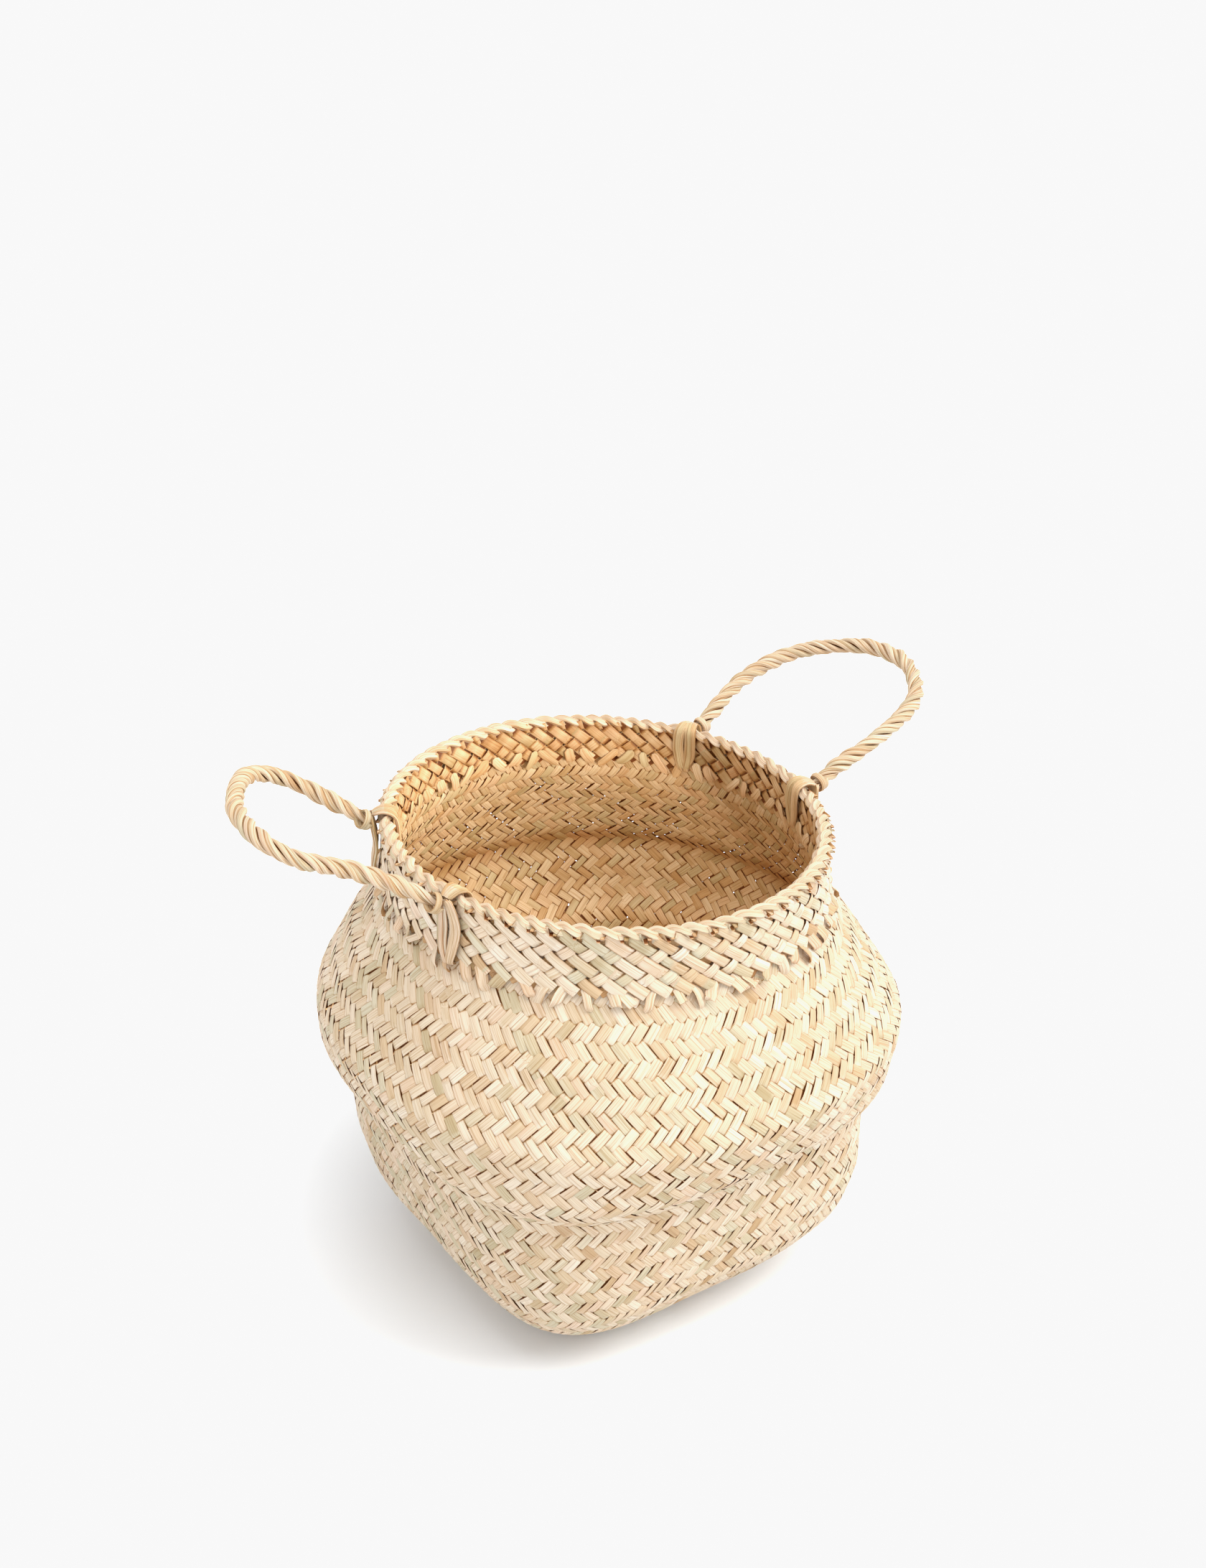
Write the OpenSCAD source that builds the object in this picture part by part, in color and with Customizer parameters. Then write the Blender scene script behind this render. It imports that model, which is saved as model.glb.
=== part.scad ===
// Woven seagrass belly basket with two twisted rope handles.
// Origin: centre of the flat base, on the floor. +Z up, +X towards the right handle.

/* [Body] */
// Height of the rim's top edge at the basket's axis
rim_height = 275; // [250:1:300]
// Half width of the flat part of the base
base_half = 74; // [60:1:80]
// Half width of the lower wall where its bottom edge rounding ends
foot_half = 114.5; // [108:0.5:118]
// Half width at the waist, where the wall folds outwards
waist_half = 128; // [122:0.5:130]
// Half width of the belly at its widest
belly_half = 150.6; // [142:0.2:156]
// Outer radius of the neck wall under the rim band
neck_radius = 115; // [110:0.5:120]
// Height of the waist
waist_z = 119; // [112:1:122]
// Height of the widest place of the belly
belly_z = 166; // [162:1:172]
// How square the lower body is: 2 is round and larger is squarer
base_power = 4.1; // [3:0.1:6]
// Fall of the rim towards +X, in mm for each mm
rim_slope = 0.06; // [0:0.01:0.08]
// Thickness of the woven wall
wall = 2.4; // [1.6:0.1:3]

/* [Rim band] */
// Height of the double band under the rim
band_height = 29; // [20:1:32]
// Thickness of each layer of the band
band_wall = 2.2; // [1.5:0.1:2.6]
// Height of the twisted edge on top of the band
edge_height = 5; // [4:0.5:6]
// Number of folded strip ends below the band
tuck_count = 66; // [40:1:80]

/* [Handles] */
// Distance between the two feet of a handle
handle_gap = 88; // [80:1:96]
// Length of the right handle loop from its pivot line
right_reach = 118; // [90:1:125]
// Length of the left handle loop from its pivot line
left_reach = 98; // [90:1:125]
// Radius of one strand of the handle rope
strand_radius = 2; // [1.6:0.1:2.1]
// Distance from the rope's middle to each strand's middle
lay_radius = 2.9; // [2.8:0.05:3.2]
// Length of rope for one full turn of its strands
lay_length = 32; // [26:1:40]
// Bearing of the right handle round the rim
right_bearing = 10; // [0:0.5:15]
// Bearing of the left handle round the rim
left_bearing = 174; // [160:0.5:180]
// Lean of the right handle outwards from upright
right_lean = 77; // [0:1:80]
// Lean of the left handle outwards from upright
left_lean = 63; // [0:1:70]

/* [Hidden] */

// Clear gap between pieces of different bodies, and between layers of one body
joint_gap = 0.35;
layer_gap = 0.15;
// Points round a wall ring
ring_points = 56;
// Lean of the upper body starts at the waist and is complete at the band
band_top = rim_height - edge_height;
band_bottom = band_top - band_height;
fold_top = waist_z + 29;

// Outer wall outline: [height, half width, squareness]
LOWER_ROWS = [
  [0, base_half, base_power],
  [4, base_half + 7, base_power],
  [14, foot_half - 23, base_power],
  [28, foot_half - 10, base_power],
  [45, foot_half, base_power],
  [70, foot_half + 6, base_power - 0.1],
  [97, waist_half - 3.5, base_power - 0.5],
  [waist_z - joint_gap, waist_half, 3.2]
];
FOLD_ROWS = [
  [waist_z, waist_half, 3.2],
  [waist_z + 5, waist_half + 3, 3.1],
  [waist_z + 12, belly_half - 12, 2.9],
  [waist_z + 20, belly_half - 6, 2.6],
  [fold_top, belly_half - 2.2, 2.4]
];
BELLY_ROWS = [
  [fold_top + joint_gap, belly_half - 2.1, 2.4],
  [belly_z - 8, belly_half - 0.4, 2.3],
  [belly_z + 2, belly_half, 2.2],
  [belly_z + 20, belly_half - 5.6, 2.15],
  [belly_z + 39, belly_half - 14.6, 2.1],
  [belly_z + 58, belly_half - 24.6, 2],
  [band_bottom - 1, neck_radius + 2.2, 2],
  [band_bottom + 9, neck_radius + 0.6, 2],
  [band_bottom + 20, neck_radius, 2],
  [band_top - 0.2, neck_radius, 2]
];

// Handle rope: middle line of half a loop, [sideways, outwards as a share of the reach]
half_gap = handle_gap / 2;
ROPE_HALF = [
  [half_gap, 0.035], [half_gap + 2, 0.18], [half_gap + 5, 0.33], [half_gap + 6, 0.48],
  [half_gap + 4, 0.65], [half_gap - 3, 0.8], [half_gap - 17, 0.92], [14, 0.985]
];
function rope_line(reach) = concat(
  [for (p = ROPE_HALF) [-p[0], p[1] * reach]],
  [[0, reach]],
  [for (i = [len(ROPE_HALF) - 1:-1:0]) [ROPE_HALF[i][0], ROPE_HALF[i][1] * reach]]
);
rope_rings = 64;
strand_sides = 6;
// The rope thins towards its feet over this length
foot_taper = 16;
foot_scale = 0.72;
// Pivot line of a handle, outwards and upwards from the rim's top outer edge
band_radius = neck_radius + layer_gap + band_wall;
foot_radius = sqrt(band_radius * band_radius - half_gap * half_gap);
pivot_out = foot_radius + 4.4;
pivot_up = -2.5;

// Slings: two strands loop over the rim at each foot of a handle
sling_radius = 1.7;
sling_spread = 5.6;
sling_corner = 4;
sling_sides = 6;
sling_gap = 0.4;

// Foot wraps: each foot of a handle is wrapped round its pivot line
wrap_radius = 3.2;
wrap_bore = 1.8;
wrap_length = 5;

function clamp01(v) = min(1, max(0, v));

// Height of a wall point after the rim's lean
function leaned(x, z) = z - rim_slope * x * clamp01((z - waist_z) / (band_bottom - waist_z));

// Point of a rounded-square ring at a bearing
function ring_point(row, bearing) =
  let (
    c = cos(bearing),
    s = sin(bearing),
    r = row[1] / pow(pow(abs(c), row[2]) + pow(abs(s), row[2]), 1 / row[2])
  )
  [r * c, r * s, leaned(r * c, row[0])];

// Rows of a wall layer: outer rows up, inner rows down
function layer(rows, outside, thickness) = concat(
  [for (row = rows) [row[0], row[1] + outside, row[2]]],
  [for (i = [len(rows) - 1:-1:0]) [rows[i][0], rows[i][1] + outside - thickness, rows[i][2]]]
);

// Two triangles for each cell of a grid of closed sections
function cell_faces(n, count, sections) = [
  for (i = [0:count - 1], j = [0:n - 1])
  for (half = [0, 1])
  let (
    a = i * n + j,
    b = i * n + (j + 1) % n,
    c = ((i + 1) % sections) * n + (j + 1) % n,
    d = ((i + 1) % sections) * n + j
  )
  half == 0 ? [a, b, c] : [a, c, d]
];

// Closed ring whose section is a closed list of rows
module ring_solid(section) {
  n = len(section);
  points = [for (i = [0:ring_points - 1], row = section) ring_point(row, i * 360 / ring_points)];
  polyhedron(points, cell_faces(n, ring_points, ring_points), convexity = 6);
}

// Short patch of a ring between two bearings
module patch_solid(section, from, to) {
  n = len(section);
  points = concat([for (row = section) ring_point(row, from)], [for (row = section) ring_point(row, to)]);
  ends = [[for (j = [n - 1:-1:0]) j], [for (j = [0:n - 1]) n + j]];
  polyhedron(points, concat(cell_faces(n, 1, 2), ends), convexity = 2);
}

// Catmull-Rom point of a 2D line at parameter u, 0 to 1
function line_point(line, u) =
  let (
    n = len(line) - 1,
    s = min(u * n, n - 0.0001),
    k = floor(s),
    t = s - k,
    p0 = line[max(k - 1, 0)],
    p1 = line[k],
    p2 = line[k + 1],
    p3 = line[min(k + 2, n)]
  )
  0.5 * (2 * p1 + (p2 - p0) * t + (2 * p0 - 5 * p1 + 4 * p2 - p3) * t * t
    + (3 * p1 - p0 - 3 * p2 + p3) * t * t * t);

function rope_length(line, steps) =
  let (pts = [for (i = [0:steps]) line_point(line, i / steps)])
  [for (i = 0, s = 0; i <= steps; s = s + (i < steps ? norm(pts[i + 1] - pts[i]) : 0), i = i + 1) s];

// One strand of the rope, wound round the loop's middle line; phase in degrees
module strand(phase, reach) {
  line = rope_line(reach);
  along = rope_length(line, rope_rings);
  total = along[rope_rings];
  points = [
    for (i = [0:rope_rings])
    let (
      u = i / rope_rings,
      p = line_point(line, u),
      q = line_point(line, min(1, u + 0.002)) - line_point(line, max(0, u - 0.002)),
      dir = q / norm(q),
      side = [-dir[1], dir[0]],
      ends = min(along[i], total - along[i]) / foot_taper,
      scale = foot_scale + (1 - foot_scale) * clamp01(ends),
      turn = phase + 360 * along[i] / lay_length,
      mid = [p[0], p[1], 0] + lay_radius * scale * [side[0] * cos(turn), side[1] * cos(turn), sin(turn)]
    )
    for (j = [0:strand_sides - 1])
    let (w = j * 360 / strand_sides)
    mid + strand_radius * scale * [side[0] * cos(w), side[1] * cos(w), sin(w)]
  ];
  n = strand_sides;
  last = rope_rings * n;
  ends = [[for (j = [0:n - 1]) j], [for (j = [n - 1:-1:0]) last + j]];
  sides = [for (f = cell_faces(n, rope_rings, rope_rings + 1)) [f[2], f[1], f[0]]];
  polyhedron(points, concat(sides, ends), convexity = 10);
}

// Places a handle loop, drawn in X and Y, on its pivot line
module on_rim(bearing, lean) {
  rotate([0, 0, bearing])
    translate([pivot_out, 0, rim_height - rim_slope * foot_radius * cos(bearing) + pivot_up])
      rotate([0, lean, 0])
        rotate([90, 0, 90])
          children();
}

// Loop of one sling strand, closed round the band, in the radial plane
module sling_strand() {
  outside_top = band_radius + sling_radius + sling_gap;
  outside_low = outside_top + 2.3;
  inside = neck_radius - wall - layer_gap - band_wall - sling_radius - 2 * sling_gap;
  top = rim_height + sling_radius + sling_gap;
  low = band_bottom - 2;
  cz = (top + low) / 2;
  half_z = (top - low) / 2 - sling_corner;
  corner_steps = 4;
  // Middles of the four rounded corners, outwards from the axis
  corner_x = [
    outside_top - sling_corner,
    inside + sling_corner,
    inside + sling_corner,
    outside_low - sling_corner
  ];
  route = [
    for (q = [0:3], i = [0:corner_steps])
    let (
      w = q * 90 + i * 90 / corner_steps,
      sz = (q < 2) ? 1 : -1
    )
    [corner_x[q] + sling_corner * cos(w), cz + sz * half_z + sling_corner * sin(w), w]
  ];
  n = sling_sides;
  points = [
    for (r = route, j = [0:n - 1])
    let (w = j * 360 / n, off = sling_radius * cos(w))
    [r[0] + off * cos(r[2]), sling_radius * sin(w), r[1] + off * sin(r[2])]
  ];
  polyhedron(points, [for (f = cell_faces(n, len(route), len(route))) [f[2], f[1], f[0]]], convexity = 6);
}

// Pair of sling strands at one foot of a handle; side is 1 or -1 along the pivot line
module sling(bearing, side) {
  foot = bearing + side * asin(half_gap / band_radius);
  drop = rim_slope * band_radius * cos(foot);
  for (k = [-1, 1])
    rotate([0, 0, foot + k * asin(sling_spread / band_radius)])
      translate([0, 0, -drop])
        sling_strand();
}

// Wrapped ends of a handle's two feet, round its pivot line
module foot_wraps() {
  for (side = [-1, 1])
    translate([side * half_gap, 0, 0])
      rotate([0, 90, 0])
        difference() {
          cylinder(h = wrap_length, r = wrap_radius, center = true, $fn = 32);
          cylinder(h = wrap_length + 1, r = wrap_bore, center = true, $fn = 32);
        }
}

module base_mat() {
  outline = [for (i = [0:ring_points - 1]) ring_point([0, base_half - layer_gap, base_power], i * 360 / ring_points)];
  color("wheat")
    linear_extrude(wall)
      polygon([for (p = outline) [p[0], p[1]]]);
}

module lower_wall() {
  // The inner side starts on the base mat's edge, so the bottom edge is closed
  inner_foot = [[wall, base_half, base_power]];
  outer = LOWER_ROWS;
  inner = [
    for (i = [len(outer) - 1:-1:2])
    [outer[i][0] + (i < 5 ? wall * 0.5 : 0), outer[i][1] - wall, outer[i][2]]
  ];
  color("wheat")
    ring_solid(concat(outer, inner, [[5.4, base_half + 4.6, base_power]], inner_foot));
}

module waist_fold() {
  color("burlywood")
    ring_solid(layer(FOLD_ROWS, 0, wall));
}

module belly_wall() {
  color("wheat")
    ring_solid(layer(BELLY_ROWS, 0, wall));
}

// Rows of the band, following the neck
function band_rows() = [
  [band_bottom, neck_radius + 2.1, 2],
  [band_bottom + 9, neck_radius + 0.7, 2],
  [band_bottom + 20, neck_radius + 0.1, 2],
  [band_top - 0.2, neck_radius, 2]
];

module rim_band_outer() {
  color("tan")
    ring_solid(layer(band_rows(), layer_gap + band_wall, band_wall));
}

module rim_band_inner() {
  color("tan")
    ring_solid(layer(band_rows(), -wall - layer_gap - 0.1, band_wall));
}

module rim_edge() {
  outer = band_radius - 0.2;
  inner = neck_radius - wall - layer_gap - band_wall + 0.2;
  bevel = 1.6;
  color("burlywood")
    ring_solid([
      [band_top + layer_gap, outer - bevel, 2],
      [band_top + bevel, outer, 2],
      [rim_height - bevel, outer, 2],
      [rim_height, outer - bevel, 2],
      [rim_height, inner + bevel, 2],
      [rim_height - bevel, inner, 2],
      [band_top + bevel, inner, 2],
      [band_top + layer_gap, inner + bevel, 2]
    ]);
}

// True where a tuck would meet a sling strand
SLING_BEARINGS = [
  for (side = [-1, 1], b = [right_bearing, left_bearing])
  b + side * asin(half_gap / band_radius)
];
function near_sling(bearing) = len([
  for (b = SLING_BEARINGS, turn = [0, 360])
  if (abs(bearing - b - turn) < 6) b
]) > 0;

// Folded strip ends that show as a toothed row below the outer band
module rim_tucks() {
  top = band_bottom - 0.2;
  low = band_bottom - 5;
  top_r = neck_radius + 2.6;
  low_r = neck_radius + 4.9;
  thick = 1.3;
  pitch = 360 / tuck_count;
  color("tan")
    for (i = [0:tuck_count - 1])
      if (!near_sling(i * pitch))
        patch_solid(
          [[low, low_r + thick, 2], [top, top_r + thick, 2], [top, top_r, 2], [low, low_r, 2]],
          i * pitch, i * pitch + pitch * 0.45
        );
}

module right_handle_strand_a() { color("burlywood") on_rim(right_bearing, right_lean) strand(0, right_reach); }
module right_handle_strand_b() { color("wheat") on_rim(right_bearing, right_lean) strand(120, right_reach); }
module right_handle_strand_c() { color("tan") on_rim(right_bearing, right_lean) strand(240, right_reach); }
module left_handle_strand_a() { color("burlywood") on_rim(left_bearing, left_lean) strand(0, left_reach); }
module left_handle_strand_b() { color("wheat") on_rim(left_bearing, left_lean) strand(120, left_reach); }
module left_handle_strand_c() { color("tan") on_rim(left_bearing, left_lean) strand(240, left_reach); }

module right_foot_wraps() { color("wheat") on_rim(right_bearing, right_lean) foot_wraps(); }
module left_foot_wraps() { color("wheat") on_rim(left_bearing, left_lean) foot_wraps(); }

module right_front_sling() { color("tan") sling(right_bearing, -1); }
module right_rear_sling() { color("tan") sling(right_bearing, 1); }
module left_front_sling() { color("tan") sling(left_bearing, 1); }
module left_rear_sling() { color("tan") sling(left_bearing, -1); }

base_mat();
lower_wall();
waist_fold();
belly_wall();
rim_band_outer();
rim_band_inner();
rim_edge();
rim_tucks();
right_handle_strand_a();
right_handle_strand_b();
right_handle_strand_c();
left_handle_strand_a();
left_handle_strand_b();
left_handle_strand_c();
right_foot_wraps();
left_foot_wraps();
right_front_sling();
right_rear_sling();
left_front_sling();
left_rear_sling();
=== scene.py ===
import math

import bpy
import numpy as np
from mathutils import Matrix


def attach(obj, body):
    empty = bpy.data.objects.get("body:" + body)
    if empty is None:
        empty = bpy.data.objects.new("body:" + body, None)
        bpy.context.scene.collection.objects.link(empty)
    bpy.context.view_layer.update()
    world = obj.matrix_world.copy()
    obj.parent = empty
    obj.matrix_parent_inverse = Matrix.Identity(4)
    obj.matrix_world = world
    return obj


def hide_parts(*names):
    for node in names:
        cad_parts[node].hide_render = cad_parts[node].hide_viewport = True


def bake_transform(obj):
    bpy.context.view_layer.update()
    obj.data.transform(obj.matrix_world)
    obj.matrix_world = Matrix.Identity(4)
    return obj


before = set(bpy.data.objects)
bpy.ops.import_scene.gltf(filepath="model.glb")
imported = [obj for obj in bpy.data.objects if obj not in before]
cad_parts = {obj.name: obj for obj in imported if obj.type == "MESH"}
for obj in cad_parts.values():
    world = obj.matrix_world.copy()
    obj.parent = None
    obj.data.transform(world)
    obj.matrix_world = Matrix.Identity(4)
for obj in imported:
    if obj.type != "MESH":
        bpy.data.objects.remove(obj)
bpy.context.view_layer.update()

RNG = np.random.default_rng(11)

# The part's own values, repeated from its source
BASE_HALF = 0.074
NECK_RADIUS = 0.115
RIM_HEIGHT = 0.275
WAIST_Z, FOLD_TOP = 0.119, 0.148
BAND_BOTTOM = 0.241
RIM_SLOPE = 0.06
OUTLINE = np.array([
    [0.0002, 0.068, 4.1], [0, BASE_HALF, 4.1], [0.004, 0.081, 4.1], [0.014, 0.0915, 4.1],
    [0.028, 0.1045, 4.1], [0.045, 0.1145, 4.1], [0.070, 0.1205, 4.0], [0.097, 0.1245, 3.6],
    [WAIST_Z, 0.128, 3.2], [0.124, 0.131, 3.1], [0.131, 0.1386, 2.9], [0.139, 0.1446, 2.6],
    [FOLD_TOP, 0.1476, 2.4], [0.160, 0.1508, 2.3], [0.1695, 0.1524, 2.2],
    [0.176, 0.1494, 2.18], [0.186, 0.1446, 2.15],
    [0.205, 0.136, 2.1], [0.224, 0.126, 2], [0.240, 0.1172, 2], [0.250, 0.1156, 2],
    [0.261, NECK_RADIUS, 2], [0.2698, NECK_RADIUS, 2]])
BAND_ROWS = np.array([[BAND_BOTTOM, 0.0021, 2], [0.250, 0.0007, 2], [0.261, 0.0001, 2], [0.2722, 0, 2]])
BAND_RADIUS = NECK_RADIUS + 0.00235
HALF_GAP = 0.044
REACH = {"right": 0.117, "left": 0.089}
FOOT_RADIUS = math.sqrt(BAND_RADIUS**2 - HALF_GAP**2)
PIVOT_OUT, PIVOT_UP = FOOT_RADIUS + 0.0044, -0.0025
BEARING = {"right": math.radians(10), "left": math.radians(174)}
LEAN = {"right": math.radians(77), "left": math.radians(63)}
LAY_LENGTH = 0.032

# The weave: leaf strips each way round the wall, and the length of one crossing along a strip
STRIPS = 132
CELL = 0.00525
BAND_STRIPS = 66
BAND_CELL = 0.0070
# A strip of the wall and of the band: how far it rises over its neighbour, its width and thickness
WALL_LIFT, WALL_WIDTH, WALL_THICK = 0.00048, 0.0054, 0.0005
BAND_LIFT, BAND_WIDTH, BAND_THICK = 0.0006, 0.0062, 0.0007
# Lightest tone of the picture
PAPER = 0.94
# Height of the belly's widest line, where painted shade darkens the inner fold
SHADE_CREASE_Z = 0.170


def smoothstep(x):
    x = np.clip(x, 0, 1)
    return x * x * (3 - 2 * x)


def leaned(x, z):
    return z - RIM_SLOPE * x * np.clip((z - WAIST_Z) / (BAND_BOTTOM - WAIST_Z), 0, 1)


def smooth_line(rows, step, soft):
    """Rows resampled along their length and softened, ends kept."""
    along = np.concatenate([[0], np.cumsum(np.hypot(*np.diff(rows[:, :2], axis=0).T))])
    s = np.arange(0, along[-1], step)
    line = np.stack([np.interp(s, along, rows[:, k]) for k in range(3)], 1)
    n = int(3 * soft / step)
    kernel = np.exp(-0.5 * (np.arange(-n, n + 1) * step / soft) ** 2)
    kernel /= kernel.sum()
    padded = np.concatenate([2 * line[0] - line[n:0:-1], line, 2 * line[-1] - line[-2:-n - 2:-1]])
    line = np.stack([np.convolve(padded[:, k], kernel, "valid") for k in range(3)], 1)
    return s, line


def offset_line(line, out):
    """The line moved outwards across its own direction."""
    d = np.gradient(line[:, :2], axis=0)
    d /= np.linalg.norm(d, axis=1)[:, None]
    moved = line.copy()
    moved[:, 0] -= d[:, 1] * out
    moved[:, 1] += d[:, 0] * out
    return moved


ANGLES = np.linspace(0, 2 * math.pi, 1441)


def ring_radius(a, n, angle):
    return a / (np.abs(np.cos(angle)) ** n + np.abs(np.sin(angle)) ** n) ** (1 / n)


def perimeter(a, n):
    r = ring_radius(a, n, ANGLES)
    return np.hypot(np.diff(r * np.cos(ANGLES)), np.diff(r * np.sin(ANGLES))).sum()


WAVES = [(m, RNG.uniform(0, 6.28), RNG.uniform(20, 55), RNG.uniform(0, 6.28)) for m in (2, 3, 4, 5, 7, 9, 12)]


# Larger bulges of this basket: bearing, height, size, half widths round and up
BULGES = [(-34, 0.165, 0.0035, 34, 0.030), (-34, 0.062, 0.0030, 26, 0.030), (152, 0.222, -0.0045, 30, 0.016),
          (146, 0.146, 0.0022, 26, 0.014), (-34, 0.214, -0.0020, 24, 0.012)]


def wobble(angle, z):
    """Dents and bulges of a hand-made wall."""
    d = 0.0026 * sum(np.sin(m * angle + p) * np.sin(k * z + q) / (m + 3) for m, p, k, q in WAVES)
    for bearing, height, size, wide, tall in BULGES:
        off = np.mod(np.degrees(angle) - bearing + 180, 360) - 180
        d = d + size * np.exp(-(off / wide) ** 2 - ((z - height) / tall) ** 2)
    return d * smoothstep((z - 0.012) / 0.03) * smoothstep((0.240 - z) / 0.02)


def shell_points(rows, u):
    """Points of stacked rounded rings at fractions u of each ring's length: rows (S, 3), u (M, S)."""
    out = np.empty(u.shape + (3,))
    for k, (z, a, n) in enumerate(rows):
        r = ring_radius(a, n, ANGLES)
        steps = np.hypot(np.diff(r * np.cos(ANGLES)), np.diff(r * np.sin(ANGLES)))
        run = np.concatenate([[0], np.cumsum(steps)])
        angle = np.interp(np.mod(u[:, k], 1), run / run[-1], ANGLES)
        r = ring_radius(a, n, angle) + wobble(angle, z)
        x, y = r * np.cos(angle), r * np.sin(angle)
        out[:, k] = np.stack([x, y, leaned(x, z)], 1)
    return out


def unit(v):
    return v / np.maximum(np.linalg.norm(v, axis=-1, keepdims=True), 1e-12)


def tube_faces(strips, sections, around, closed=False):
    joins = sections if closed else sections - 1
    m, s, k = np.meshgrid(np.arange(strips), np.arange(joins), np.arange(around), indexing="ij")
    at = lambda si, ki: (m * sections + si % sections) * around + ki % around
    return np.stack([at(s, k), at(s, k + 1), at(s + 1, k + 1), at(s + 1, k)], -1).reshape(-1, 4)


def make_piece(name, verts, faces, leaf, grain, material):
    """A mesh whose points carry two colour attributes.

    They are leaf (kind, shade, patch, open to the sky, which sets painted shade in gaps and creases) and
    grain (along, across, strip).
    """
    mesh = bpy.data.meshes.new(name)
    mesh.from_pydata(verts.reshape(-1, 3).tolist(), [], faces.tolist())
    for key, values in (("leaf", leaf), ("grain", grain)):
        values = values.reshape(-1, values.shape[-1])
        values = np.concatenate([values, np.ones((len(values), 4 - values.shape[1]))], 1)
        layer = mesh.attributes.new(key, "FLOAT_COLOR", "POINT")
        layer.data.foreach_set("color", values.astype(np.float32).ravel())
    mesh.polygons.foreach_set("use_smooth", [True] * len(mesh.polygons))
    mesh.set_sharp_from_angle(angle=math.radians(50))
    mesh.materials.append(material)
    mesh.update()
    obj = bpy.data.objects.new(name, mesh)
    bpy.context.scene.collection.objects.link(obj)
    return obj


# Section of a leaf strip: across and through, in half widths and half thicknesses
LEAF_X = np.array([-1, -0.72, 0, 0.72, 1, 0.72, 0, -0.72])
LEAF_Y = np.array([0, 0.75, 1.35, 0.75, 0, -1, -1, -1])
# The last row gives the side of each section point for the painted gap shade: top positive, under side
# negative
LEAF_FACE = np.array([0.7, 1, 1, 1, 0.7, -1, -1, -1])


def leaf_sections(P, N, B, width, thick, tilt, kinds, shades, patches, along, ids, over=None):
    """Strips swept along P: arrays are (M, S) apart from the vectors.

    over is 1 on top of the weave and -1 under it; it sets the fourth leaf channel, which paints shade in the
    gaps.
    """
    x = LEAF_X * (width / 2)[..., None]
    y = LEAF_Y * (thick / 2)[..., None]
    c, s = np.cos(tilt)[..., None], np.sin(tilt)[..., None]
    verts = P[:, :, None] + B[:, :, None] * (x * c - y * s)[..., None]
    verts = verts + N[:, :, None] * (x * s + y * c)[..., None]
    shape = x.shape
    shade_in_gaps = np.ones(shape) if over is None else 0.5 + 0.5 * np.clip(over[..., None] * LEAF_FACE, -1, 1)
    leaf = np.stack([np.broadcast_to(v[..., None], shape) for v in (kinds, shades, patches)] + [shade_in_gaps], -1)
    grain = np.stack([np.broadcast_to(along[..., None], shape), np.broadcast_to(LEAF_X / 2 + 0.5, shape),
                      np.broadcast_to(ids[..., None], shape)], -1)
    return verts, leaf, grain


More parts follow.
